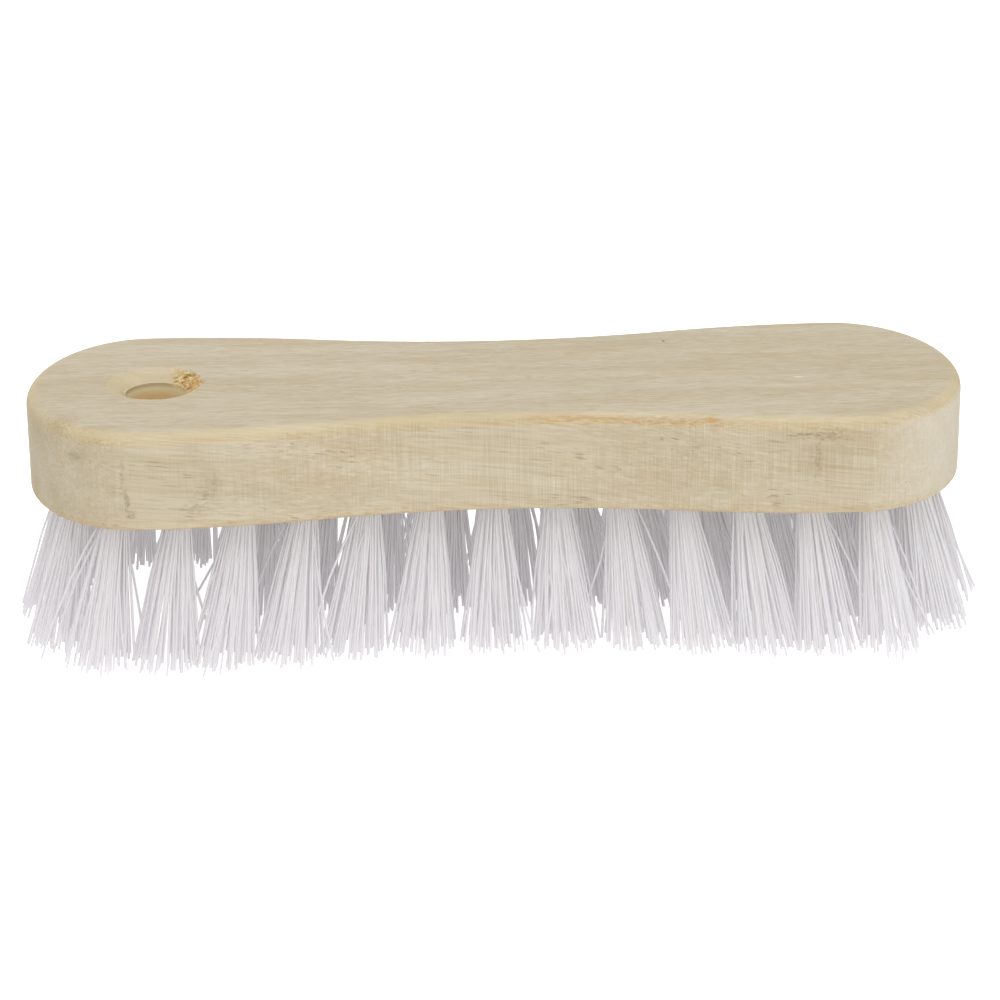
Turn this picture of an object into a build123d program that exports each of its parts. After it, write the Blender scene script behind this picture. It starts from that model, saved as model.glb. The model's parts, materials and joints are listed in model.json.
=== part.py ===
from build123d import *
import math
import os
import random

# A scrub brush: a waisted wooden block, drilled from below for tufts of plastic bristle.
# Each tuft is folded over a flat wire staple, which bites the wood on both sides of its hole.
# The brush lies along X and stands on its bristle tips, at Z = 0, with the block's smooth face up.

# Block
block_length = 200.0
block_height = 21.3
bulge_half_width = 31.7
waist_half_width = 24.8
end_cap_reach = 25.0
top_round = 3.0
bottom_round = 0.8

# Hang hole, bored through the left end and dished at the top
hang_hole_diameter = 13.0
hang_hole_rim_diameter = 20.5
hang_hole_rim_depth = 2.35
hang_hole_end_distance = 27.5
hang_hole_margin = 6.0

# Bristle tufts and the holes that hold them
bristle_length = 31.7
tuft_hole_diameter = 5.5
tuft_hole_depth = 12.0
tuft_pitch = 13.4
ring_inset = 8.5
ring_start = 1.3
inner_row_offset = 3.4
last_column_inset = 10.5
tuft_clearance = 0.1
tuft_end_gap = 0.3
tuft_mouth_gap = 1.0
tuft_fold_round = 0.8

# How far the tufts lean by the time that they reach the ground
outward_lean = 6.0
lengthwise_lean = 5.5

# Strands of a tuft, each a lock of bristles that widens towards its tip
strands_round_a_tuft = 9
strand_root_width = 0.85
strand_tip_width = 1.8
strand_root_radius = 1.85
strand_tip_radius = 4.9
strand_seat = 3.0
tip_trim = 0.5
tip_unevenness = 2.0
tip_radius_wander = 0.4
tip_angle_wander = 3.0

# Staples
staple_length = 7.0
staple_height = 2.0
staple_thickness = 0.4
staple_clearance = 0.05
staple_fold_cover = 1.8

# How far a cutting shape runs past the face that it cuts
cut_overrun = 4.0

block_half_length = block_length / 2
underside_height = bristle_length
top_height = underside_height + block_height
hang_hole_x = hang_hole_end_distance - block_half_length
tuft_hole_radius = tuft_hole_diameter / 2
plug_radius = tuft_hole_radius - tuft_clearance
plug_end_depth = tuft_hole_depth - tuft_end_gap
staple_centre_depth = plug_end_depth - staple_fold_cover - staple_height / 2


def outline_edges(inset):
    """The block's outline in order, anticlockwise from the front of the waist, drawn in by inset."""
    cap_x = block_half_length - end_cap_reach
    waist = waist_half_width - inset
    bulge = bulge_half_width - inset
    middle_x = cap_x / 2
    middle_y = (waist + bulge) / 2
    along = (1, 0)
    back = (-1, 0)
    leave_waist = TangentArc((0, -waist), (middle_x, -middle_y), tangent=along)
    reach_bulge = TangentArc((middle_x, -middle_y), (cap_x, -bulge), tangent=leave_waist % 1)
    end_cap = EllipticalCenterArc((cap_x, 0), end_cap_reach - inset, bulge, -90, arc_size=180)
    leave_bulge = TangentArc((cap_x, bulge), (middle_x, middle_y), tangent=back)
    reach_waist = TangentArc((middle_x, middle_y), (0, waist), tangent=leave_bulge % 1)
    right_half = [leave_waist, reach_bulge, end_cap, leave_bulge, reach_waist]
    left_half = [edge.rotate(Axis.Z, 180) for edge in right_half]
    return right_half + left_half


def lean_of(place, outward):
    """How far a tuft rooted at place has moved across when it reaches the ground."""
    ring_half_length = block_half_length - ring_inset
    turn = math.pi * min(abs(place.X) / ring_half_length, 1)
    lengthwise = math.copysign(lengthwise_lean * math.sin(turn), place.X)
    return outward * outward_lean + Vector(lengthwise, 0)


def ring_tufts():
    """Roots and leans of the tufts in the ring that follows the block's outline."""
    edges = outline_edges(ring_inset)
    ring_length = sum(edge.length for edge in edges)
    count = round(ring_length / tuft_pitch)
    tufts = []
    for number in range(count):
        distance = (number * ring_length / count - ring_start) % ring_length
        for edge in edges:
            if distance < edge.length:
                break
            distance -= edge.length
        place = edge.position_at(distance, position_mode=PositionMode.LENGTH)
        tangent = edge.tangent_at(distance, position_mode=PositionMode.LENGTH)
        outward = Vector(tangent.Y, -tangent.X)
        tufts.append((place, lean_of(place, outward)))
    return tufts


def ring_half_width(x):
    """Half the width of the ring where it crosses x, from its front edges."""
    crossing = Line((x, -bulge_half_width), (x, 0))
    for edge in outline_edges(ring_inset):
        found = edge.intersect(crossing)
        if found:
            return -found.center().Y
    return 0


def inner_tufts():
    """Roots and leans of the tufts inside the ring, in columns one pitch apart.

    The columns are set off from the front row, so that its gaps show them, and the last holds one tuft.
    """
    clear_of_hang_hole = (hang_hole_diameter + tuft_hole_diameter) / 2 + hang_hole_margin
    last_x = block_half_length - ring_inset - last_column_inset
    columns = int(last_x / tuft_pitch)
    tufts = []
    for column in range(-columns, columns + 1):
        x = min(column * tuft_pitch + inner_row_offset, last_x)
        if x < hang_hole_x + clear_of_hang_hole:
            continue
        half_width = ring_half_width(x)
        gaps = int(2 * half_width / tuft_pitch)
        if x == last_x:
            gaps = 2
        spacing = 2 * half_width / gaps
        for row in range(1, gaps):
            place = Vector(x, row * spacing - half_width)
            outward = Vector(0, place.Y / half_width)
            tufts.append((place, lean_of(place, outward)))
    return tufts


def hole_plane(place, lean):
    """A plane at a hole's mouth, its Z running up the hole's own slant into the wood."""
    mouth = Vector(place.X, place.Y, underside_height)
    up_the_hole = Vector(-lean.X, -lean.Y, bristle_length)
    return Plane(origin=mouth, x_dir=(1, 0, 0), z_dir=up_the_hole)


def rod(radius, start, end):
    """A round rod along Z from start to end."""
    standing = (Align.CENTER, Align.CENTER, Align.MIN)
    return Pos(0, 0, start) * Cylinder(radius, end - start, align=standing)


def slab(length, thickness, start, end):
    """A flat slab along X and Z, its Z from start to end."""
    standing = (Align.CENTER, Align.CENTER, Align.MIN)
    return Pos(0, 0, start) * Box(length, thickness, end - start, align=standing)


def staple_space(length, clearance, start):
    """The space of a staple with clearance all round, from depth start to its top."""
    top = staple_centre_depth + staple_height / 2 + clearance
    return slab(length + 2 * clearance, staple_thickness + 2 * clearance, start, top)


def make_block(tufts):
    """The wooden block with its hang hole, and a slanted hole with a staple groove for each tuft."""
    face = make_face(outline_edges(0))
    block = Pos(0, 0, underside_height) * extrude(face, block_height)
    block = fillet(block.faces().sort_by(Axis.Z)[-1].edges(), top_round)
    block = fillet(block.faces().sort_by(Axis.Z)[0].edges(), bottom_round)
    bore = rod(hang_hole_diameter / 2, underside_height - cut_overrun, top_height + cut_overrun)
    dish = Cone(
        hang_hole_diameter / 2,
        hang_hole_rim_diameter / 2,
        hang_hole_rim_depth,
        align=(Align.CENTER, Align.CENTER, Align.MAX),
    )
    cuts = [Pos(hang_hole_x, 0, 0) * bore, Pos(hang_hole_x, 0, top_height) * dish]
    for place, lean in tufts:
        hole = rod(tuft_hole_radius, -cut_overrun, tuft_hole_depth)
        groove = staple_space(staple_length, staple_clearance, -cut_overrun)
        cuts.append(hole_plane(place, lean) * (hole + groove))
    return block - cuts


def strand_section(centre, half_width, angle):
    """A level square across a strand, turned to face the middle of its tuft."""
    return Pos(centre) * Rot(0, 0, angle) * Rectangle(2 * half_width, 2 * half_width)


def make_strand(place, lean, root_offset, tip_offset, angle, tip_height):
    """One straight strand, from inside its tuft's plug to its level tip."""
    mouth = Vector(place.X, place.Y, underside_height) + root_offset
    ground = Vector(place.X + lean.X, place.Y + lean.Y, 0) + tip_offset
    sections = []
    for height in (tip_height, underside_height + strand_seat):
        share = (underside_height - height) / bristle_length
        centre = mouth + (ground - mouth) * share
        half_width = (strand_root_width + (strand_tip_width - strand_root_width) * share) / 2
        sections.append(strand_section(centre, half_width, angle))
    return loft(sections, ruled=True)


def make_tuft(number, place, lean):
    """One tuft: the folded plug in its hole, slotted for its staple, with its strands."""
    wander = random.Random(number)
    plug = rod(plug_radius, tuft_mouth_gap, plug_end_depth)
    plug = fillet(plug.edges().sort_by(Axis.Z)[-1], tuft_fold_round)
    slot_start = staple_centre_depth - staple_height / 2 - staple_clearance
    plug = plug - staple_space(tuft_hole_diameter, staple_clearance, slot_start)
    middle = Vector(0, 0)
    strands = [make_strand(place, lean, middle, middle, 0, 0)]
    for turn in range(strands_round_a_tuft):
        angle = turn * 360 / strands_round_a_tuft
        root_offset = Vector(strand_root_radius, 0).rotate(Axis.Z, angle)
        tip_radius = strand_tip_radius + wander.uniform(-1, 1) * tip_radius_wander
        tip_angle = angle + wander.uniform(-1, 1) * tip_angle_wander
        tip_offset = Vector(tip_radius, 0).rotate(Axis.Z, tip_angle)
        tip_height = max(wander.random() * (tip_unevenness + tip_trim) - tip_trim, 0)
        strands.append(make_strand(place, lean, root_offset, tip_offset, angle, tip_height))
    return hole_plane(place, lean) * plug + strands


def make_staples(tufts):
    """The flat wire staples, one across the fold of each tuft."""
    low = staple_centre_depth - staple_height / 2
    high = staple_centre_depth + staple_height / 2
    staples = []
    for place, lean in tufts:
        staples.append(hole_plane(place, lean) * slab(staple_length, staple_thickness, low, high))
    return Compound(children=staples)


os.makedirs("parts", exist_ok=True)
tufts = ring_tufts() + inner_tufts()
export_step(make_block(tufts), "parts/wooden_block.step")
export_step(make_staples(tufts), "parts/anchor_staples.step")
for number, (place, lean) in enumerate(tufts, start=1):
    export_step(make_tuft(number, place, lean), f"parts/bristle_tuft_{number:02d}.step")
print("tufts", len(tufts), "strands", len(tufts) * (strands_round_a_tuft + 1))
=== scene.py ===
# %% [markdown]
# # A wooden scrub brush
# This is a household scrub brush. A waisted block of pale, bare wood fits the hand, and tufts of
# stiff white plastic bristle are set in its underside. One end of the block has a dished hole to
# hang it by. We load the brush's solids as a fixed frame, at their real size in metres, and then
# dress them: the block gets sanded edges and torn grain, and each tuft its single bristles.

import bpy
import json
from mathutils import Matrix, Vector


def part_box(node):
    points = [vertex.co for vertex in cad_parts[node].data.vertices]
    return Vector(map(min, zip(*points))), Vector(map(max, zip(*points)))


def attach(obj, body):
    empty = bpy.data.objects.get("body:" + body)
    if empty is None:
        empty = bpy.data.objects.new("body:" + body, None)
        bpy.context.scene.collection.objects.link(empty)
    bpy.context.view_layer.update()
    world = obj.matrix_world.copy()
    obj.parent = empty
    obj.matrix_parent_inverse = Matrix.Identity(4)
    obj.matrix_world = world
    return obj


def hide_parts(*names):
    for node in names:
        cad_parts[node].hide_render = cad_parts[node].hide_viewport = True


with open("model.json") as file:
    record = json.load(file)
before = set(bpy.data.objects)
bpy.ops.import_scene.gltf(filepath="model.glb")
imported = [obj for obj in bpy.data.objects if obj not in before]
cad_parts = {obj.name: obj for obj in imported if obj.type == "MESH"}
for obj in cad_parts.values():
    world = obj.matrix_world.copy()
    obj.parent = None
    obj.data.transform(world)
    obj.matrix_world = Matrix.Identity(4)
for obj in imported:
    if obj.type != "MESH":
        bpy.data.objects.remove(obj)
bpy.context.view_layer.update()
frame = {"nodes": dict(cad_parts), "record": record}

# %% [markdown]
# ## Units and small helpers
# A brush maker works in millimetres and Blender in metres, so one value turns one into the other.
# Operators act on whatever is selected, so each new piece starts with nothing selected. Points of
# a mesh are picked by their place, which is surer than counting them, and two heights less than
# a tenth of a millimetre apart count as the same.

# %% Units and selection
import json
import math
import random

import bpy
from mathutils import Matrix, Vector, noise

mm = 0.001
same_height = 0.1 * mm


def start_clean():
    """Leave no object selected, so that the next operator touches only the new one."""
    if bpy.context.object and bpy.context.object.mode != "OBJECT":
        bpy.ops.object.mode_set(mode="OBJECT")
    bpy.ops.object.select_all(action="DESELECT")


def pick_only(piece):
    """Select one finished piece and make it the active one."""
    start_clean()
    piece.select_set(True)
    bpy.context.view_layer.objects.active = piece


def pick_edges(piece, wanted):
    """In edge mode, select the edges whose two ends both satisfy wanted, and no others."""
    bpy.ops.object.mode_set(mode="EDIT")
    bpy.ops.mesh.select_mode(type="EDGE")
    bpy.ops.mesh.select_all(action="DESELECT")
    bpy.ops.object.mode_set(mode="OBJECT")
    points = piece.data.vertices
    for edge in piece.data.edges:
        edge.select = all(wanted(points[index].co) for index in edge.vertices)
    bpy.ops.object.mode_set(mode="EDIT")


def finish_piece(piece, name, node):
    """Name a piece, let it ride with the brush and hide the solid it stands for."""
    piece.name = name
    piece.data.name = name
    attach(piece, "root")
    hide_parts(node)


# %% [markdown]
# ## The block's outline
# From above, the block is two round ends joined by a waist for the fingers. A shaper guided by a
# template cuts it, so its outline is a few fair curves: two equal arcs from the waist out to each
# bulge, then a quarter ellipse round the end. It could be drawn as a curve object and filled, but
# a few sums give every point its exact place. One quarter is worked out and mirrored twice.

# %% Sizes of the block, from the frame
block_low, block_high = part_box("wooden_block")
half_length = block_high.x
bulge = block_high.y
underside = block_low.z
top = block_high.z
waist = 24.8 * mm
end_reach = 25 * mm
arc_steps = 20
end_steps = 56
print("block", round(2 * half_length / mm, 1), "mm long", round(2 * bulge / mm, 1), "mm wide")


def quarter_outline():
    """Points of the outline from the front of the waist to the middle of the right end."""
    cap_x = half_length - end_reach
    step_out = bulge - waist
    radius = (cap_x ** 2 + step_out ** 2) / (4 * step_out)
    sweep = math.asin(cap_x / 2 / radius)
    points = []
    for step in range(arc_steps):
        turn = sweep * step / arc_steps
        points.append((radius * math.sin(turn), -waist - radius * (1 - math.cos(turn))))
    for step in range(arc_steps):
        turn = sweep * (1 - step / arc_steps)
        points.append((cap_x - radius * math.sin(turn), -bulge + radius * (1 - math.cos(turn))))
    for step in range(end_steps + 1):
        turn = math.pi / 2 * step / end_steps
        points.append((cap_x + end_reach * math.sin(turn), -bulge * math.cos(turn)))
    return points


def full_outline():
    """The whole outline, anticlockwise from the front of the waist."""
    front = quarter_outline()
    back = [(x, -y) for x, y in reversed(front[:-1])]
    right = front + back
    left = [(-x, -y) for x, y in right]
    return right[:-1] + left[:-1]


# %% [markdown]
# ## The block
# The real block is sawn, shaped, sanded on top and rounded over along its upper edge. We do the
# same: a circle is pulled onto the outline, filled, extruded up to the block's height, and its
# rims are bevelled, the upper one wide and round and the lower one only eased. A bevel modifier
# would do it too, but here the two rims differ, so each is picked and bevelled by itself.

# %% Shape the blank
top_round = 3 * mm
top_round_steps = 9
bottom_round = 0.8 * mm
bottom_round_steps = 4
outline = full_outline()
start_clean()
bpy.ops.mesh.primitive_circle_add(vertices=len(outline), radius=half_length)
block = bpy.context.object
for vertex, (x, y) in zip(block.data.vertices, outline):
    vertex.co = (x, y, underside)
bpy.ops.object.mode_set(mode="EDIT")
bpy.ops.mesh.select_all(action="SELECT")
bpy.ops.mesh.edge_face_add()
bpy.ops.mesh.extrude_region_move(TRANSFORM_OT_translate={"value": (0, 0, top - underside)})
bpy.ops.mesh.select_all(action="SELECT")
bpy.ops.mesh.normals_make_consistent(inside=False)
pick_edges(block, lambda point: point.z > top - same_height)
bpy.ops.mesh.bevel(offset=top_round, segments=top_round_steps, profile=0.5, affect="EDGES")
pick_edges(block, lambda point: point.z < underside + same_height)
bpy.ops.mesh.bevel(offset=bottom_round, segments=bottom_round_steps, profile=0.5, affect="EDGES")
bpy.ops.object.mode_set(mode="OBJECT")
print("block blank", len(block.data.polygons), "faces")

# %% [markdown]
# ## The hang hole
# The hole is bored and then dished with a wide countersink, and sanding has softened its lip. A
# plain cone could cut the dish, but its lip would stay sharp. So we first work out a profile: it
# rises evenly from the bore and bends over at the lip. The hole's place, bore and depth come from
# the brush's record, where the mount for a hook is written down.

# %% Profile of the dish
mounts = {mount["name"]: mount for mount in frame["record"]["mounts"]}
hang_x = mounts["hang_hole"]["pos_m"][0]
bore_radius = mounts["hang_hole"]["dims"]["r_mm"] * mm
dish_depth = top - underside - mounts["hang_hole"]["dims"]["length_mm"] * mm
bore_top = top - dish_depth
rim_radius = 10.25 * mm
lip_radius = 0.9 * mm
dish_rings = 16
overrun = 2 * mm


def dish_profile():
    """Radius and height of each ring of the dish above the bore, up to past the softened lip."""
    steepness = dish_depth / (rim_radius - bore_radius)
    lip_start = rim_radius - lip_radius / 2
    lip_end = rim_radius + lip_radius / 2
    rings = []
    for step in range(1, dish_rings + 1):
        radius = bore_radius + (lip_end - bore_radius) * step / dish_rings
        past_lip = max(radius - lip_start, 0) / lip_radius
        height = bore_top + (radius - bore_radius) * steepness
        height -= past_lip ** 2 * lip_radius / 2 * steepness
        rings.append((radius, min(height, top)))
    rings.append((lip_end, top + overrun))
    return rings


print("dish", round(dish_depth / mm, 2), "mm deep in", len(dish_profile()), "rings")

# %% [markdown]
# ## The cutter of the hang hole
# The cutter has the shape of the air in the hole. It could be spun from the profile, but rings
# made one by one stay easy to follow: a disc is extruded up the bore, then a little higher and
# wider for each ring of the profile. It runs past the wood at both ends, because a boolean is
# unsure where two faces lie in one plane.

# %% Build the hang hole's cutter
cutter_sides = 180
cutter_foot = underside - overrun
start_clean()
bpy.ops.mesh.primitive_circle_add(
    vertices=cutter_sides,
    radius=bore_radius,
    fill_type="NGON",
    location=(hang_x, 0, cutter_foot),
)
hole_cutter = bpy.context.object
bpy.ops.object.transform_apply(location=True, rotation=False, scale=False)
bpy.ops.object.mode_set(mode="EDIT")
bpy.ops.mesh.select_all(action="SELECT")
ring_radius, ring_height = bore_radius, cutter_foot
for radius, height in [(bore_radius, bore_top)] + dish_profile():
    rise = (0, 0, height - ring_height)
    bpy.ops.mesh.extrude_region_move(TRANSFORM_OT_translate={"value": rise})
    growth = radius / ring_radius
    bpy.ops.transform.resize(value=(growth, growth, 1), center_override=(hang_x, 0, height))
    ring_radius, ring_height = radius, height
bpy.ops.mesh.select_all(action="SELECT")
bpy.ops.mesh.normals_make_consistent(inside=False)
bpy.ops.object.mode_set(mode="OBJECT")
print("hang hole cutter", len(hole_cutter.data.polygons), "faces")

# %% [markdown]
# ## Torn grain in the dish
# The countersink cut across the grain, and on the right the wood has torn: short fibres stand up
# and little pits are left between them. The left came out smooth. Bump in a material could fake
# this, but the rim would stay a clean circle. So the cutter's own points are moved by noise on
# that side, and the boolean later leaves the roughness in the wood.

# %% Tear the grain on the dish's right side
tear_depth = 1.0 * mm
tear_grain = 1.0 * mm
tear_middle = math.radians(8)
tear_reach = math.radians(52)
tear_octaves = 3
mean_turbulence = 0.45
downward_push = 0.8


def tear_at(point):
    """How strongly the wood is torn at a point of the dish, from 0 to 1."""
    angle = math.atan2(point.y, point.x - hang_x)
    aside = abs(angle - tear_middle) / tear_reach
    if aside >= 1 or not bore_top + same_height <= point.z <= top + same_height:
        return 0
    return (1 - aside ** 2) ** 0.5


torn_points = 0
for vertex in hole_cutter.data.vertices:
    strength = tear_at(vertex.co)
    if strength:
        outward = Vector((vertex.co.x - hang_x, vertex.co.y, 0)).normalized()
        into_wood = (outward - Vector((0, 0, downward_push))).normalized()
        rough = noise.turbulence(vertex.co / tear_grain, tear_octaves, True) - mean_turbulence
        vertex.co += into_wood * rough * tear_depth * strength
        torn_points += 1
print("torn points", torn_points)

# %% [markdown]
# ## The tuft holes
# Below, each tuft sits in its own blind hole, drilled on the slant that makes the tuft lean. The
# slant could be worked out again from the pattern of the tufts, but reading it from the tuft's
# solid is safer: its plug lies on the hole's axis, and the middle of its tips is where that axis
# meets the ground.

# %% Find each tuft's axis
tuft_nodes = sorted(name for name in frame["nodes"] if name.startswith("bristle_tuft"))
tip_zone = 4 * mm


def tuft_axis(node):
    """Where a tuft's axis leaves the wood, and where it meets the ground."""
    points = [vertex.co for vertex in frame["nodes"][node].data.vertices]
    plug = [point for point in points if point.z > underside]
    tips = [point for point in points if point.z < tip_zone]
    high = sum(plug, Vector()) / len(plug)
    low = sum(tips, Vector()) / len(tips)
    fall = (high - low) / (high.z - low.z)
    return low + fall * (underside - low.z), low - fall * low.z


axes = {node: tuft_axis(node) for node in tuft_nodes}
print("tuft axes", len(axes))

# %% [markdown]
# ## Drills
# A cylinder along each axis stands for the drill, and reaches from below the wood to the bottom
# of the hole. Each could be cut out by itself, but one cut is quicker than dozens and leaves
# fewer slivers, so all of them are joined with the hang hole's cutter.

# %% Drills for the tuft holes
hole_radius = 2.75 * mm
hole_depth = 12 * mm
hole_sides = 28
cutters = [hole_cutter]
for mouth, ground in axes.values():
    up = (mouth - ground).normalized()
    start_clean()
    bpy.ops.mesh.primitive_cylinder_add(
        vertices=hole_sides,
        radius=hole_radius,
        depth=hole_depth + overrun,
        location=mouth + up * (hole_depth - overrun) / 2,
        rotation=up.to_track_quat("Z", "Y").to_euler(),
    )
    cutters.append(bpy.context.object)
start_clean()
for cutter in cutters:
    cutter.select_set(True)
bpy.context.view_layer.objects.active = hole_cutter
bpy.ops.object.join()
bpy.ops.object.transform_apply(location=True, rotation=True, scale=True)
print("tuft holes", len(cutters) - 1)

# %% [markdown]
# ## Cutting and smoothing
# A boolean modifier takes the drills' shape away from the block, and its exact solver copes with
# the rough dish. Where faces meet at a small angle, as on the round-over, the block is shaded
# smooth, and every sharper edge stays crisp. Weighted normals then let the large flat faces lead,
# so that no shading creeps from the round-over onto the top.

# %% Cut all the holes from the block
smooth_below = math.radians(24)
pick_only(block)
cut = block.modifiers.new("holes", "BOOLEAN")
cut.operation = "DIFFERENCE"
cut.solver = "EXACT"
cut.object = hole_cutter
bpy.ops.object.modifier_apply(modifier=cut.name)
bpy.data.objects.remove(hole_cutter)
pick_only(block)
bpy.ops.object.shade_smooth_by_angle(angle=smooth_below)
weigh = block.modifiers.new("flat faces lead", "WEIGHTED_NORMAL")
weigh.keep_sharp = True
bpy.ops.object.modifier_apply(modifier=weigh.name)
finish_piece(block, "block", "wooden_block")
print("block", len(block.data.polygons), "faces")

# %% [markdown]
# ## The bristles
# A tuft is a bundle of drawn plastic bristles, each about half a millimetre thick, folded in half
# over its staple at the bottom of the hole. Hair particles grow out of a face, so they couldn't
# lie folded in a hole, and each bristle is one folded line of its own instead. First we pack the
# lines in the hole, in rows that lie in the hollows of the row before, as round bristles do.

# %% Pack the bristles in a hole
bristle_radius = 0.27 * mm
bristle_spacing = 0.54 * mm
staple_half = 0.2 * mm
row_step = bristle_spacing * math.sin(math.radians(60))


def across_the_hole():
    """Places of the folded bristles in a hole: how far along the staple, and how far from it."""
    limit = hole_radius - bristle_radius
    places = []
    across = staple_half + bristle_radius
    while across < limit:
        reach = math.sqrt(limit ** 2 - across ** 2)
        count = int(2 * reach / bristle_spacing) + 1
        for number in range(count):
            places.append(((number - (count - 1) / 2) * bristle_spacing, across))
        across += row_step
    return places


print("bristles in a hole", len(across_the_hole()))

# %% [markdown]
# ## The free half of a bristle
# Both halves of a bristle come out of the hole's mouth side by side and fan out. Neighbours stick
# together in locks, each bends a little, and a few stray across to the next tuft. Then the whole
# brush is trimmed level, though never quite. A few dice per bristle give all of that. Each tuft's
# dice start from its number, so the brush comes out the same every time.

# %% Draw one half of a bristle, from the mouth to its trimmed tip
fan_share = 3.05
lock_pull = 0.16
tip_jitter = 0.5 * mm
bow = 0.35 * mm
wander_width = 1.7
half_way = 0.45
stray_share = 0.06
stray_reach = 10 * mm
least_stray = 0.4
stray_flatness = 0.4
stray_bend = 3
trim_unevenness = 1.5 * mm
trim_habit = 1.6
tip_clearance = 0.12 * mm


def level_wander(dice, size):
    """A random step on the level, of about this size."""
    return Vector((dice.uniform(-1, 1), dice.uniform(-1, 1), 0)) * size * wander_width


def free_half(dice, mouth, ground, start, locks):
    """Points of the half of a bristle that hangs free, from the mouth down to its tip."""
    spread = Vector((start.x, start.y, 0)) * fan_share
    lock = min(locks, key=lambda place: (place - spread).length)
    spread = spread.lerp(lock, lock_pull) + level_wander(dice, tip_jitter)
    bend = level_wander(dice, bow)
    shares = (0, half_way)
    if dice.random() < stray_share:
        turn = dice.uniform(0, 2 * math.pi)
        reach = stray_reach * dice.uniform(least_stray, 1)
        spread += Vector((math.cos(turn), stray_flatness * math.sin(turn), 0)) * reach
        bend *= stray_bend
        shares = (0, 0.25, half_way, 0.75)
    cut_short = trim_unevenness * dice.random() ** trim_habit + tip_clearance
    points = []
    for share in shares + (1 - cut_short / mouth.z,):
        offset = start.lerp(spread, share) + bend * 4 * share * (1 - share)
        points.append(mouth.lerp(ground, share) + offset)
    return points


# %% [markdown]
# ## A whole bristle
# Inside the hole the bristle goes up one side of the staple, over it and down the other side. A
# bristle that lies farther out goes over the ones nearer the staple, so its fold is higher and
# wider. Three points are enough for the fold, since the wood hides it.

# %% Draw one whole bristle, folded over its staple
staple_top = 9.9 * mm
fold_rise = 0.7
shoulder_drop = 0.6


def whole_bristle(dice, mouth, ground, ways, place, locks):
    """Points of a bristle, from one tip up over the staple and down to the other tip."""
    up, along_way, side_way = ways
    along, across = place
    middle = along_way * along
    left = middle - side_way * across
    right = middle + side_way * across
    nearest = staple_half + bristle_radius
    fold = up * (staple_top + bristle_radius + (across - nearest) * fold_rise)
    shoulder = fold - up * across * shoulder_drop
    over = [mouth + left + shoulder, mouth + middle + fold, mouth + right + shoulder]
    down_left = free_half(dice, mouth, ground, left, locks)
    down_right = free_half(dice, mouth, ground, right, locks)
    return down_left[::-1] + over + down_right


# %% [markdown]
# ## The tufts
# A curve object can hold many lines and gives each a round section, so one curve will be a whole
# tuft. Its lines need the tuft's own directions: up its hole, along its staple and across it.
# The locks that its bristles gather in stand round its middle, like the petals of a flower.

# %% Lines of a tuft
lock_count = 4
lock_place = 0.6


def tuft_lines(dice, node):
    """The lines of all the bristles of one tuft."""
    mouth, ground = axes[node]
    up = (mouth - ground).normalized()
    along_way = (Vector((1, 0, 0)) - up * up.x).normalized()
    ways = (up, along_way, up.cross(along_way))
    first = dice.uniform(0, 2 * math.pi)
    lock_radius = hole_radius * fan_share * lock_place
    locks = []
    for lock in range(lock_count):
        turn = first + 2 * math.pi * lock / lock_count
        locks.append(Vector((math.cos(turn), math.sin(turn), 0)) * lock_radius)
    return [
        whole_bristle(dice, mouth, ground, ways, place, locks) for place in across_the_hole()
    ]


# %% [markdown]
# ## From lines to bristles
# A bevel turns each line into a bristle with closed ends, and then the curve is made a mesh. The
# brush has nearly two thousand folded bristles, so each has only six sides, and smooth shading
# makes it round. Each tuft is drawn by itself rather than copied, because copies side by side
# would show.

# %% Make the tufts
bevel_resolution = 1
round_below = math.radians(70)


def make_tuft(node, number):
    """One tuft as a mesh of round bristles, its dice started from its number."""
    lines = tuft_lines(random.Random(number), node)
    start_clean()
    bpy.ops.curve.primitive_nurbs_path_add()
    tuft = bpy.context.object
    tuft.data.splines.clear()
    for line in lines:
        spline = tuft.data.splines.new("POLY")
        spline.points.add(len(line) - 1)
        for point, place in zip(spline.points, line):
            point.co = (*place, 1)
    tuft.data.bevel_depth = bristle_radius
    tuft.data.bevel_resolution = bevel_resolution
    tuft.data.use_fill_caps = True
    bpy.ops.object.convert(target="MESH")
    tuft = bpy.context.object
    bpy.ops.object.shade_smooth_by_angle(angle=round_below)
    finish_piece(tuft, "tuft_" + node[-2:], node)
    return tuft


tufts = [make_tuft(node, number) for number, node in enumerate(tuft_nodes)]
triangles = sum(len(face.vertices) - 2 for face in tufts[0].data.polygons)
print("tufts", len(tufts), "triangles in the first", triangles)

# %% [markdown]
# ## Building materials from nodes
# A material is a small network of nodes. It could be drawn by hand in the shader editor, but in
# code it can be read, changed and repeated. A colour is given as the hex value that a paint
# program shows, and one function turns it into the linear numbers that light works in. One small
# function adds a node and fills its sockets, each with a plain value or another node's output.

# %% Colour and node helpers
def linear(code):
    """The linear colour of an sRGB hex value."""
    shares = [int(code[start:start + 2], 16) / 255 for start in (1, 3, 5)]
    curved = [s / 12.92 if s <= 0.04045 else ((s + 0.055) / 1.055) ** 2.4 for s in shares]
    return (*curved, 1)


def add_node(tree, kind, sockets=None, **settings):
    """Add a node with its settings, each socket filled with a value or another node's output."""
    node = tree.nodes.new(kind)
    for name, value in settings.items():
        setattr(node, name, value)
    for socket, value in (sockets or {}).items():
        if isinstance(value, bpy.types.NodeSocket):
            tree.links.new(value, node.inputs[socket])
        else:
            node.inputs[socket].default_value = value
    return node


def new_material(name):
    """A material with only its output and a plain shader, its node tree, and that shader."""
    material = bpy.data.materials.new(name)
    material.use_nodes = True
    return material, material.node_tree, material.node_tree.nodes["Principled BSDF"]


def give(piece, material):
    """Put one material on a piece in place of whatever it had."""
    piece.data.materials.clear()
    piece.data.materials.append(material)


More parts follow.
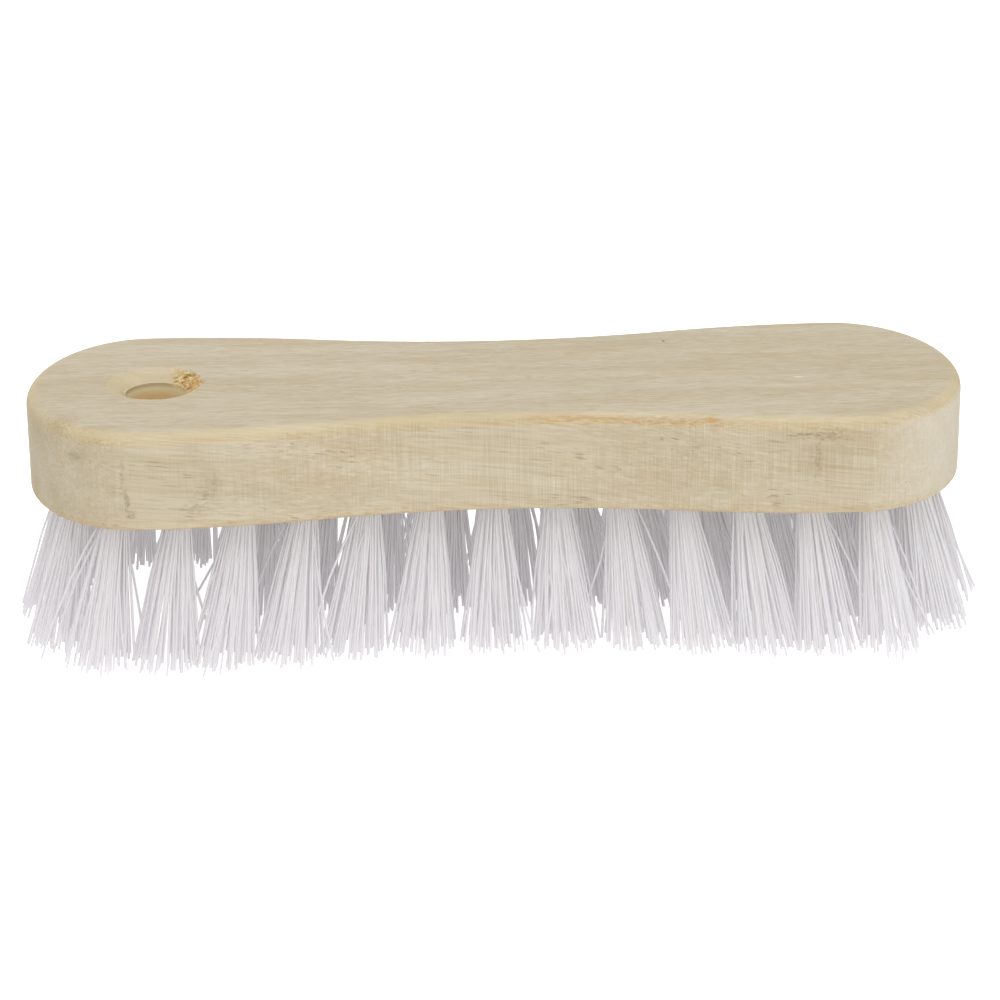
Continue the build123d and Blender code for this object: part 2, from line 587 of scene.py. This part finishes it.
# %% [markdown]
# ## Bare rubberwood
# The block is pale, unvarnished rubberwood, sawn, shaped and sanded. It gives a dry, dull, creamy
# surface. Its grain runs along the block and falls a little to the right: broad pale and darker
# bands, fine streaks, and the short dark dashes of open pores. Each is a noise pattern, stretched
# along the grain. A noise has one value at every point of space, so on the ends the same streaks
# are cut across and show as dots, as in real wood. Sizes are real ones: bands some millimetres
# wide, pores under half a millimetre wide and a few long, and hairlines half as wide as those.

# %% Grain of the wood
wood, wood_tree, wood_shader = new_material("sanded rubberwood")
place = add_node(wood_tree, "ShaderNodeTexCoord").outputs["Object"]
grain_slope = math.radians(-6)
grain_place = add_node(wood_tree, "ShaderNodeMapping", {
    "Vector": place, "Rotation": (0, grain_slope, 0),
}).outputs["Vector"]


def grain(size, offset, detail=2, roughness=0.5, distortion=0, source=grain_place):
    """Noise with grains of about this size in millimetres along, across and up the block.

    Each pattern has an offset of its own, so that no two of them coincide.
    """
    stretched = add_node(wood_tree, "ShaderNodeMapping", {
        "Vector": source,
        "Location": (offset, offset, offset),
        "Scale": [1 / (length * mm) for length in size],
    })
    return add_node(wood_tree, "ShaderNodeTexNoise", {
        "Vector": stretched.outputs["Vector"], "Scale": 1, "Detail": detail,
        "Roughness": roughness, "Distortion": distortion,
    }).outputs["Fac"]


bands = grain((120, 7, 7), 3, detail=3, distortion=0.3)
warmth = grain((55, 5, 5), 41, detail=3, roughness=0.55)
streaks = grain((34, 0.65, 0.65), 7, detail=3, roughness=0.6, distortion=0.1)
hairs = grain((15, 0.26, 0.26), 13, roughness=0.6)
pores = grain((5.5, 0.42, 0.42), 11, detail=1)
pore_places = grain((24, 6, 6), 17, detail=1)
fuzz = grain((0.9, 0.6, 0.6), 5, roughness=0.7)
print("grain nodes", len(wood_tree.nodes))

# %% [markdown]
# ## Colours laid one over another
# A painter would grain wood with thin glazes, and so do we: over a pale ground, each pattern lays
# one more colour, as thickly as its mask says. A colour ramp could hold several colours at once,
# but in glazes each can be changed by itself. A ramp turns a pattern into a mask, and several
# parts multiplied keep a colour to the places where they all agree.

# %% Masks, and the colour of the plain wood
def mask_of(*parts):
    """The product of parts, each a number, an output or a ramp.

    A ramp is (output, low, high): 0 up to low and 1 from high on. Two more numbers replace that
    0 and 1.
    """
    product = None
    for part in parts:
        if isinstance(part, tuple):
            output, low, high, *ends = part
            least, most = ends or (0, 1)
            part = add_node(wood_tree, "ShaderNodeMapRange", {
                "Value": output, "From Min": low, "From Max": high,
                "To Min": least, "To Max": most,
            }).outputs["Result"]
        if product is None:
            product = part
        else:
            both = {0: product, 1: part}
            product = add_node(wood_tree, "ShaderNodeMath", both, operation="MULTIPLY").outputs[0]
    return product


def glaze(colour, code, *parts):
    """The colour with another, a hex value, laid over it as thickly as the parts' mask says."""
    layers = {0: mask_of(*parts), 6: colour, 7: linear(code)}
    return add_node(wood_tree, "ShaderNodeMix", layers, data_type="RGBA").outputs[2]


painted = linear("#d6ccb6")
painted = glaze(painted, "#ccc0a7", (bands, 0.35, 0.65))
painted = glaze(painted, "#c7b088", (warmth, 0.5, 0.75, 0, 0.45))
painted = glaze(painted, "#b29c74", (streaks, 0.42, 0.75, 0, 0.34))
painted = glaze(painted, "#e2dbc8", (streaks, 0.45, 0.25, 0, 0.3))
painted = glaze(painted, "#a8946a", (hairs, 0.45, 0.75, 0, 0.35))
print("nodes of the plain wood", len(wood_tree.nodes))

# %% [markdown]
# ## Finding the faces
# The block's faces were worked with different tools, so they look different. They could be given
# separate materials, but then a hard line would run between them. Instead the way a point faces
# gives soft masks: straight up is the top, nearly level a side, and between them the round-over.

# %% Where each face is
facing = add_node(wood_tree, "ShaderNodeNewGeometry").outputs["Normal"]
face_way = add_node(wood_tree, "ShaderNodeSeparateXYZ", {"Vector": facing})
upward = face_way.outputs["Z"]
sideways = add_node(
    wood_tree, "ShaderNodeMath", {0: face_way.outputs["Y"]}, operation="ABSOLUTE"
).outputs[0]
spot_of = add_node(wood_tree, "ShaderNodeSeparateXYZ", {"Vector": place})
along = spot_of.outputs["X"]
height = spot_of.outputs["Z"]
on_top = mask_of((upward, 0.93, 0.995))
on_side = mask_of((upward, 0.6, 0.2))
on_long_wall = mask_of((sideways, 0.6, 0.9))
on_round = mask_of((upward, 0.995, 0.93), (upward, 0.08, 0.3))
on_lower_round = mask_of((upward, 0.7, 0.5), (upward, 0.04, 0.15))
burnt_line = mask_of(
    (upward, 0.86, 0.7), (upward, 0.2, 0.4), (along, 2 * mm, 10 * mm), (along, 52 * mm, 44 * mm)
)
near_underside = mask_of((height, underside + 2.6 * mm, underside + 1 * mm))
right_end_painted_light = mask_of((along, 76 * mm, 90 * mm), on_side)
left_end_painted_shade = mask_of((along, -68 * mm, -92 * mm), on_side)
print("nodes with the faces", len(wood_tree.nodes))

# %% [markdown]
# ## Wood by face
# The top is sanded, and looks greyest. The round-over was cut after it and shows fresher, yellower
# wood, with a fine reddish line where the cutter ended, and a browner one where it rubbed. On the
# long walls the cutter left fine upright lines about half a millimetre apart, which cross the
# grain like a weave, and the open pores show as short dark dashes. The right end is cut across
# the grain; it is painted palest, partly as pale end grain and partly as painted light, as if more
# light fell on it from the right. The left end is painted a little darker: painted shade. Each row
# holds a colour and the parts of its mask.

# %% Colour of each face
round_patches = grain((30, 12, 12), 23)
round_lines = grain((26, 0.35, 0.35), 31, roughness=0.6)
cutter_lines = grain((0.27, 30, 12), 37, detail=1, source=place)
line_patches = grain((16, 8, 8), 29)
weave = mask_of((cutter_lines, 0.4, 0.62), on_long_wall, (line_patches, 0.35, 0.6, 0.25, 1))
for code, *parts in [
    ("#7c684a", (pores, 0.63, 0.73), (pore_places, 0.4, 0.6), (on_side, 0, 1, 0.2, 0.46)),
    ("#b08c62", on_top, (round_lines, 0.56, 0.7), (round_patches, 0.4, 0.6, 0.25, 1), 0.42),
    ("#d6c292", on_round, (round_patches, 0.3, 0.65, 0.12, 0.45)),
    ("#b8965f", on_lower_round, (round_lines, 0.5, 0.62, 0.05, 0.34)),
    ("#b98a50", burnt_line, (round_lines, 0.42, 0.6, 0.1, 0.5)),
    ("#a8946c", weave, (along, -75 * mm, -20 * mm, 0.16, 0.3)),
    # painted light: the right end made paler, as if more light fell on it from the right; partly
    # pale end grain
    ("#e0dacb", right_end_painted_light, 0.45),
    # painted shade: the left end a little darker, as if it faced away from the light
    ("#b8a784", left_end_painted_shade, 0.14),
    ("#cdb384", near_underside, 0.18),
    ("#bd8f55", near_underside, (round_lines, 0.56, 0.66), 0.5),
]:
    painted = glaze(painted, code, *parts)
print("nodes with the faces' colours", len(wood_tree.nodes))

# %% [markdown]
# ## Marks that have a place
# Some marks belong to one spot: smudges of handling on the front wall, a burn on the round-over,
# a knot's dark point on top. They could be painted on an image, but a mask worked out from the
# distance to a point needs none and stays sharp from near by. The fuzz makes its rim ragged, so
# that it looks like a stain and not like a disc. Each row holds a mark's colour and thickness,
# its centre and half size in millimetres, and how soft and how ragged its rim is.

# %% Marks on the walls and the top
def spot(centre, size, softness, ragged):
    """A mask: 1 in an ellipsoid of this centre and half size in millimetres, with a ragged rim."""
    centred = add_node(wood_tree, "ShaderNodeMapping", {
        "Vector": place,
        "Location": [-c / s for c, s in zip(centre, size)],
        "Scale": [1 / (s * mm) for s in size],
    })
    reach = add_node(
        wood_tree, "ShaderNodeVectorMath", {0: centred.outputs["Vector"]}, operation="LENGTH"
    )
    frayed = add_node(wood_tree, "ShaderNodeMath", {
        0: fuzz, 1: ragged, 2: reach.outputs["Value"],
    }, operation="MULTIPLY_ADD")
    rim = 1 + ragged / 2
    return mask_of((frayed.outputs[0], rim, rim - softness))


marks = [
    ("#86735a", 0.32, (-78.3, -31.5, 44), (0.6, 3, 3.6), 1.1, 4),
    ("#7f6c4f", 0.5, (-77.5, -31.6, 38.5), (0.7, 3, 3.4), 1.2, 4),
    ("#7f6c4f", 0.45, (-76.4, -31.6, 35.6), (0.8, 3, 1.4), 1.2, 4),
    ("#88765a", 0.5, (-63.2, -31.3, 36.6), (3.4, 3, 1.5), 1.6, 3),
    ("#806e55", 0.5, (-61.3, -31.2, 39.2), (2.4, 3, 1.6), 1.6, 3),
    ("#8d7c62", 0.42, (-59.6, -31.1, 42), (1.6, 3, 2.4), 1.5, 3),
    ("#8f7f60", 0.4, (-88, -27, 47), (3, 4, 1.4), 1.0, 3),
    ("#a08a5e", 0.4, (-91.5, -22, 52), (4, 6, 1.8), 1.0, 3),
    ("#a08c68", 0.3, (67, -31.5, 44), (8, 3, 7), 1.6, 2),
    ("#7f6c4f", 0.42, (65.6, -31.5, 45), (0.8, 3, 5), 1.2, 4),
    ("#7f6c4f", 0.45, (67, -31.5, 49.4), (6.5, 3, 1.3), 1.3, 4),
    ("#cc9440", 0.7, (43.5, -29.4, 52.2), (2.4, 3, 0.5), 0.8, 2),
    ("#5f503a", 0.9, (37.9, 19.3, 53), (0.45, 0.45, 2), 0.5, 0.4),
    ("#efebe0", 0.7, (64.5, -6, 53), (1.5, 0.5, 2), 0.6, 1),
]
for code, thickness, *shape in marks:
    painted = glaze(painted, code, spot(*shape), thickness)
print("marks", len(marks))

# %% [markdown]
# ## Places round the hang hole
# The dish, the bore and the edge between them are rings round the hole's middle, so the distance
# from it tells them apart, together with the height. The torn side is where the way out from the
# middle points nearly to the right. The fuzz is added to that, so that the tear ends raggedly.

# %% Masks round the hang hole
tear_raggedness = 0.5
from_hole = add_node(wood_tree, "ShaderNodeVectorMath", {
    0: place, 1: (1, 1, 0), 2: (-hang_x, 0, 0),
}, operation="MULTIPLY_ADD").outputs[0]
radius = add_node(
    wood_tree, "ShaderNodeVectorMath", {0: from_hole}, operation="LENGTH"
).outputs["Value"]
heading = add_node(
    wood_tree, "ShaderNodeVectorMath", {0: from_hole}, operation="NORMALIZE"
).outputs[0]
to_the_right = add_node(wood_tree, "ShaderNodeVectorMath", {
    0: heading, 1: (math.cos(tear_middle), math.sin(tear_middle), 0),
}, operation="DOT_PRODUCT").outputs["Value"]
ragged_way = add_node(wood_tree, "ShaderNodeMath", {
    0: fuzz, 1: tear_raggedness, 2: to_the_right,
}, operation="MULTIPLY_ADD").outputs[0]
in_dish = mask_of((radius, rim_radius + 0.4 * mm, rim_radius - 1.2 * mm))
in_bore = mask_of((radius, bore_radius + 0.2 * mm, bore_radius + 0.05 * mm))
on_edge = mask_of(
    (radius, bore_radius + 0.15 * mm, bore_radius + 0.02 * mm),
    (height, bore_top - 1.2 * mm, bore_top - 0.5 * mm),
)
deep = mask_of(
    (height, bore_top - 1.6 * mm, bore_top - 2.8 * mm),
    (height, bore_top - 12 * mm, bore_top - 7 * mm),
)
torn = mask_of((ragged_way, 0.62, 1.0), in_dish)
print("nodes with the hang hole", len(wood_tree.nodes))

# %% [markdown]
# ## Colour of the dish and the bore
# The bore is cut across the grain. Inside it, a pale cream, and a warm orange lower down, are
# painted light, for the light that comes down the bore and glows in it. Its edge is worn brown.
# The torn side shows loose pale fibres with orange and brown between them. One even brown would
# look like dirt, so its three colours are mixed by a noise as fine as the fibres are.

# %% Colour of the dish and the bore
torn_fibres = grain((1.5, 0.8, 1.2), 2, detail=3, roughness=0.65)
torn_colour = glaze(linear("#9a7238"), "#d2af74", (torn_fibres, 0.34, 0.46))
torn_colour = glaze(torn_colour, "#ecdeb8", (torn_fibres, 0.5, 0.62))
painted = glaze(painted, "#dccfae", in_dish, 0.3)
painted = glaze(painted, "#9c7443", on_edge, 0.75)
painted = add_node(wood_tree, "ShaderNodeMix", {
    0: torn, 6: painted, 7: torn_colour,
}, data_type="RGBA").outputs[2]
for code, thickness, *shape in [
    ("#b98246", 0.6, (-65.9, 0.6, 50.9), (1.6, 2.4, 1.3), 0.9, 1.6),
    ("#d6ac6c", 0.4, (-63.4, 1.2, 52.5), (1.3, 3.2, 1.2), 0.9, 1.6),
    ("#b8935c", 0.4, (-79.4, -1, 50.9), (1.1, 2, 1), 0.9, 1.6),
]:
    painted = glaze(painted, code, spot(*shape), thickness)
# painted light: the bore made nearly cream, less so at its worn edge, for light that comes down it
painted = glaze(painted, "#f5ecc6", in_bore, (on_edge, 0, 1, 0.9, 0.4))
# painted light: a warm glow lower down in the bore
painted = glaze(painted, "#eecb9a", in_bore, deep, 0.8)
wood_tree.links.new(painted, wood_shader.inputs["Base Color"])
print("nodes of the wood's colour", len(wood_tree.nodes))

# %% [markdown]
# ## How the wood's surface feels
# Sanding leaves the top almost smooth, with the grain just raised. The cutter's lines stand up on
# the long walls. All of this is a few hundredths of a millimetre high, far too fine for the mesh,
# so bump tilts the light instead, one pattern over another. The streaks also vary how dull the
# surface is, from 0.7 to 0.9, as dry wood is.

# %% Relief and dullness of the wood
relief = {}
for pattern, strength, rise in [(weave, 0.6, 0.06), (hairs, 0.5, 0.05), (fuzz, 0.4, 0.05)]:
    bump = add_node(wood_tree, "ShaderNodeBump", {
        "Height": pattern, "Strength": strength, "Distance": rise * mm, **relief,
    })
    relief = {"Normal": bump.outputs["Normal"]}
wood_tree.links.new(relief["Normal"], wood_shader.inputs["Normal"])
wood_tree.links.new(mask_of((streaks, 0, 1, 0.7, 0.9)), wood_shader.inputs["Roughness"])
wood_shader.inputs["IOR"].default_value = 1.4
wood_shader.inputs["Specular IOR Level"].default_value = 0.3
give(block, wood)
print("wood nodes", len(wood_tree.nodes))

# %% [markdown]
# ## White polypropylene bristle
# The bristles are drawn polypropylene, pigmented white. The plastic is smooth with a soft waxy
# gloss, so its roughness stays near 0.4 and changes a little every few millimetres, and its IOR
# is that of polypropylene. The pigment is mixed into the melt, which gives one cool white all
# over, so that colour goes straight to the shader. What varies from bristle to bristle is light
# and shade, and those come from the real gaps between them.

# %% Colour and gloss of a bristle
bristle_white = linear("#e8e7eb")
bristle, tree, shader = new_material("white polypropylene bristle")
waxy_patches = add_node(tree, "ShaderNodeTexNoise", {
    "Vector": add_node(tree, "ShaderNodeTexCoord").outputs["Object"], "Scale": 1 / (2.5 * mm),
})
gloss = add_node(tree, "ShaderNodeMapRange", {
    "Value": waxy_patches.outputs["Fac"], "To Min": 0.36, "To Max": 0.5,
})
tree.links.new(gloss.outputs["Result"], shader.inputs["Roughness"])
shader.inputs["Base Color"].default_value = bristle_white
shader.inputs["IOR"].default_value = 1.49
print("nodes of a bristle's gloss", len(tree.nodes))

# %% [markdown]
# ## Light through the bristles
# Light passes on through a bristle to those behind it, so even the back rows are pale. A share of
# translucent shader lets light in from behind. Tracing it through dozens of bristles would take
# very long, so a tuft throws no shadow, and light on its way from surface to surface passes by a
# bristle that is closer than three millimetres. It loses a trace of its blue there, as it would
# in the plastic.

# %% How light passes the bristles
through_share = 0.15
passing_reach = 3 * mm
passing_tint = (1, 0.984, 0.963, 1)
through = add_node(tree, "ShaderNodeBsdfTranslucent", {"Color": bristle_white})
lit_through = add_node(tree, "ShaderNodeMixShader", {
    0: through_share, 1: shader.outputs[0], 2: through.outputs[0],
}).outputs[0]
clear = add_node(tree, "ShaderNodeBsdfTransparent", {"Color": passing_tint})
rays = add_node(tree, "ShaderNodeLightPath")
near = add_node(tree, "ShaderNodeMath", {
    0: rays.outputs["Ray Length"], 1: passing_reach,
}, operation="LESS_THAN")
clear_near = add_node(tree, "ShaderNodeMixShader", {
    0: near.outputs[0], 1: lit_through, 2: clear.outputs[0],
})
surface = add_node(tree, "ShaderNodeMixShader", {
    0: rays.outputs["Is Diffuse Ray"], 1: lit_through, 2: clear_near.outputs[0],
})
tree.links.new(surface.outputs[0], tree.nodes["Material Output"].inputs["Surface"])
for tuft in tufts:
    give(tuft, bristle)
    tuft.visible_shadow = False
print("bristle nodes", len(tree.nodes))

# %% [markdown]
# ## Staple wire
# Each staple is a short piece of flat, bright steel wire, driven across the fold of its tuft. It
# can only be seen with the wood taken away, yet it has its own finish: drawn steel, with faint
# lines along the wire. Real ones are a few hundredths of a millimetre apart. They are drawn at a
# quarter of a millimetre here, because finer lines would not show.

# %% Staple material
wire, tree, shader = new_material("drawn steel wire")
wire_place = add_node(tree, "ShaderNodeMapping", {
    "Vector": add_node(tree, "ShaderNodeTexCoord").outputs["Object"],
    "Scale": (1 / (8 * mm), 1 / (0.25 * mm), 1 / (0.25 * mm)),
})
drawn_lines = add_node(tree, "ShaderNodeTexNoise", {
    "Vector": wire_place.outputs["Vector"], "Scale": 1,
}).outputs["Fac"]
wire_colour = add_node(tree, "ShaderNodeMix", {
    0: drawn_lines, 6: linear("#a8a9a8"), 7: linear("#c9cac8"),
}, data_type="RGBA")
wire_gloss = add_node(tree, "ShaderNodeMapRange", {
    "Value": drawn_lines, "To Min": 0.25, "To Max": 0.45,
})
wire_bump = add_node(tree, "ShaderNodeBump", {
    "Height": drawn_lines, "Strength": 0.4, "Distance": 0.02 * mm,
})
tree.links.new(wire_colour.outputs[2], shader.inputs["Base Color"])
tree.links.new(wire_gloss.outputs["Result"], shader.inputs["Roughness"])
tree.links.new(wire_bump.outputs["Normal"], shader.inputs["Normal"])
shader.inputs["Metallic"].default_value = 1
give(frame["nodes"]["anchor_staples"], wire)
print("staple wire nodes", len(tree.nodes))

# %% [markdown]
# ## The floor
# The brush stands on its bristle tips on a plain pale floor. Stronger lamps would make the floor
# white, but they would bleach the wood too. So the floor has a glow that only the camera sees,
# also in a reflection or through glass. It brings the floor up to white and leaves the brush's
# shadow faint, while the light that it throws back on the brush stays that of a pale floor.

# %% Floor
floor_size = 8
floor_glow = 0.72


def seen_plainly(tree):
    """An output that is 1 for what is seen, also mirrored or through glass, and else 0."""
    rays = add_node(tree, "ShaderNodeLightPath")
    seen = rays.outputs["Is Camera Ray"]
    for other in ("Is Glossy Ray", "Is Transmission Ray"):
        either = {0: seen, 1: rays.outputs[other]}
        seen = add_node(tree, "ShaderNodeMath", either, operation="MAXIMUM").outputs[0]
    return seen


start_clean()
bpy.ops.mesh.primitive_plane_add(size=floor_size, location=(0, 0, 0))
floor = bpy.context.object
floor.name = "floor"
bpy.ops.object.mode_set(mode="EDIT")
bpy.ops.mesh.select_all(action="SELECT")
bpy.ops.mesh.subdivide(number_cuts=3)
bpy.ops.object.mode_set(mode="OBJECT")
paper, tree, shader = new_material("matt white paper")
glow = add_node(
    tree, "ShaderNodeMath", {0: seen_plainly(tree), 1: floor_glow}, operation="MULTIPLY"
)
tree.links.new(glow.outputs[0], shader.inputs["Emission Strength"])
shader.inputs["Emission Color"].default_value = (1, 1, 1, 1)
shader.inputs["Base Color"].default_value = linear("#f0f0f0")
shader.inputs["Roughness"].default_value = 0.9
give(floor, paper)
print("floor", floor_size, "m wide")

# %% [markdown]
# ## Light
# The light is that of a small product studio: one wide soft box above, a long low one in front,
# another behind, and a plain even room around. In the photograph the top and the front wall are
# equally bright, so the boxes are balanced against each other. Small lamps would give hard
# shadows and bright lines on the bristles, so all three are wide.

# %% Lamps and room
brush_middle = (0, 0, 0.035)
room_light = 0.69


def soft_box(name, centre, width, height, power):
    """An area lamp of a width and height, at a point in metres, that faces the brush."""
    start_clean()
    way = Vector(brush_middle) - Vector(centre)
    bpy.ops.object.light_add(
        type="AREA", location=centre, rotation=way.to_track_quat("-Z", "Y").to_euler()
    )
    lamp = bpy.context.object
    lamp.name = name
    lamp.data.shape = "RECTANGLE"
    lamp.data.size = width
    lamp.data.size_y = height
    lamp.data.energy = power


soft_box("box above", (-0.05, -0.35, 1.05), 1.0, 1.0, 3.3)
soft_box("box in front", (0.4, -1.05, 0.16), 1.1, 0.3, 3.2)
soft_box("box behind", (-0.4, 1.05, 0.16), 1.1, 0.3, 2.6)
room = bpy.data.worlds.new("even room")
bpy.context.scene.world = room
room.use_nodes = True
tree = room.node_tree
tree.nodes.clear()
brightness = add_node(tree, "ShaderNodeMapRange", {
    "Value": seen_plainly(tree), "To Min": room_light, "To Max": 1,
})
sky = add_node(tree, "ShaderNodeBackground", {
    "Color": (1, 1, 1, 1), "Strength": brightness.outputs["Result"],
})
add_node(tree, "ShaderNodeOutputWorld", {"Surface": sky.outputs[0]})
bpy.context.scene.view_settings.view_transform = "Standard"

# %% [markdown]
# ## Camera
# The camera looks down on the brush from in front, a little to its left, from three quarters of
# a metre. Its lens is long, as for a product photograph, so the far edge is hardly smaller than
# the near one. It is turned by half a degree, as the photograph is. A camera can be aimed by a
# constraint, but that can't turn it, so its three directions are worked out.

# %% Place the camera
azimuth = math.radians(-2.38)
elevation = math.radians(21.78)
roll = math.radians(-0.56)
distance = 750 * mm
target = Vector((0.85 * mm, 0, 24.06 * mm))
picture_width = 1000
focal_pixels = 3451.16
back_way = Vector((
    math.sin(azimuth) * math.cos(elevation),
    -math.cos(azimuth) * math.cos(elevation),
    math.sin(elevation),
))
right_way = Vector((math.cos(azimuth), math.sin(azimuth), 0))
up_way = back_way.cross(right_way)
turned_right = right_way * math.cos(roll) + up_way * math.sin(roll)
turned_up = up_way * math.cos(roll) - right_way * math.sin(roll)
start_clean()
bpy.ops.object.camera_add()
camera = bpy.context.object
turned = Matrix((turned_right, turned_up, back_way)).transposed().to_4x4()
camera.matrix_world = Matrix.Translation(target + back_way * distance) @ turned
camera.data.sensor_width = 36
camera.data.lens = focal_pixels / picture_width * camera.data.sensor_width
camera.data.clip_start = 0.05
bpy.context.scene.camera = camera
print("lens", round(camera.data.lens, 1), "mm")

# %% [markdown]
# ## Finish
# The scene is brought up to date.

# %% The end
bpy.context.view_layer.update()
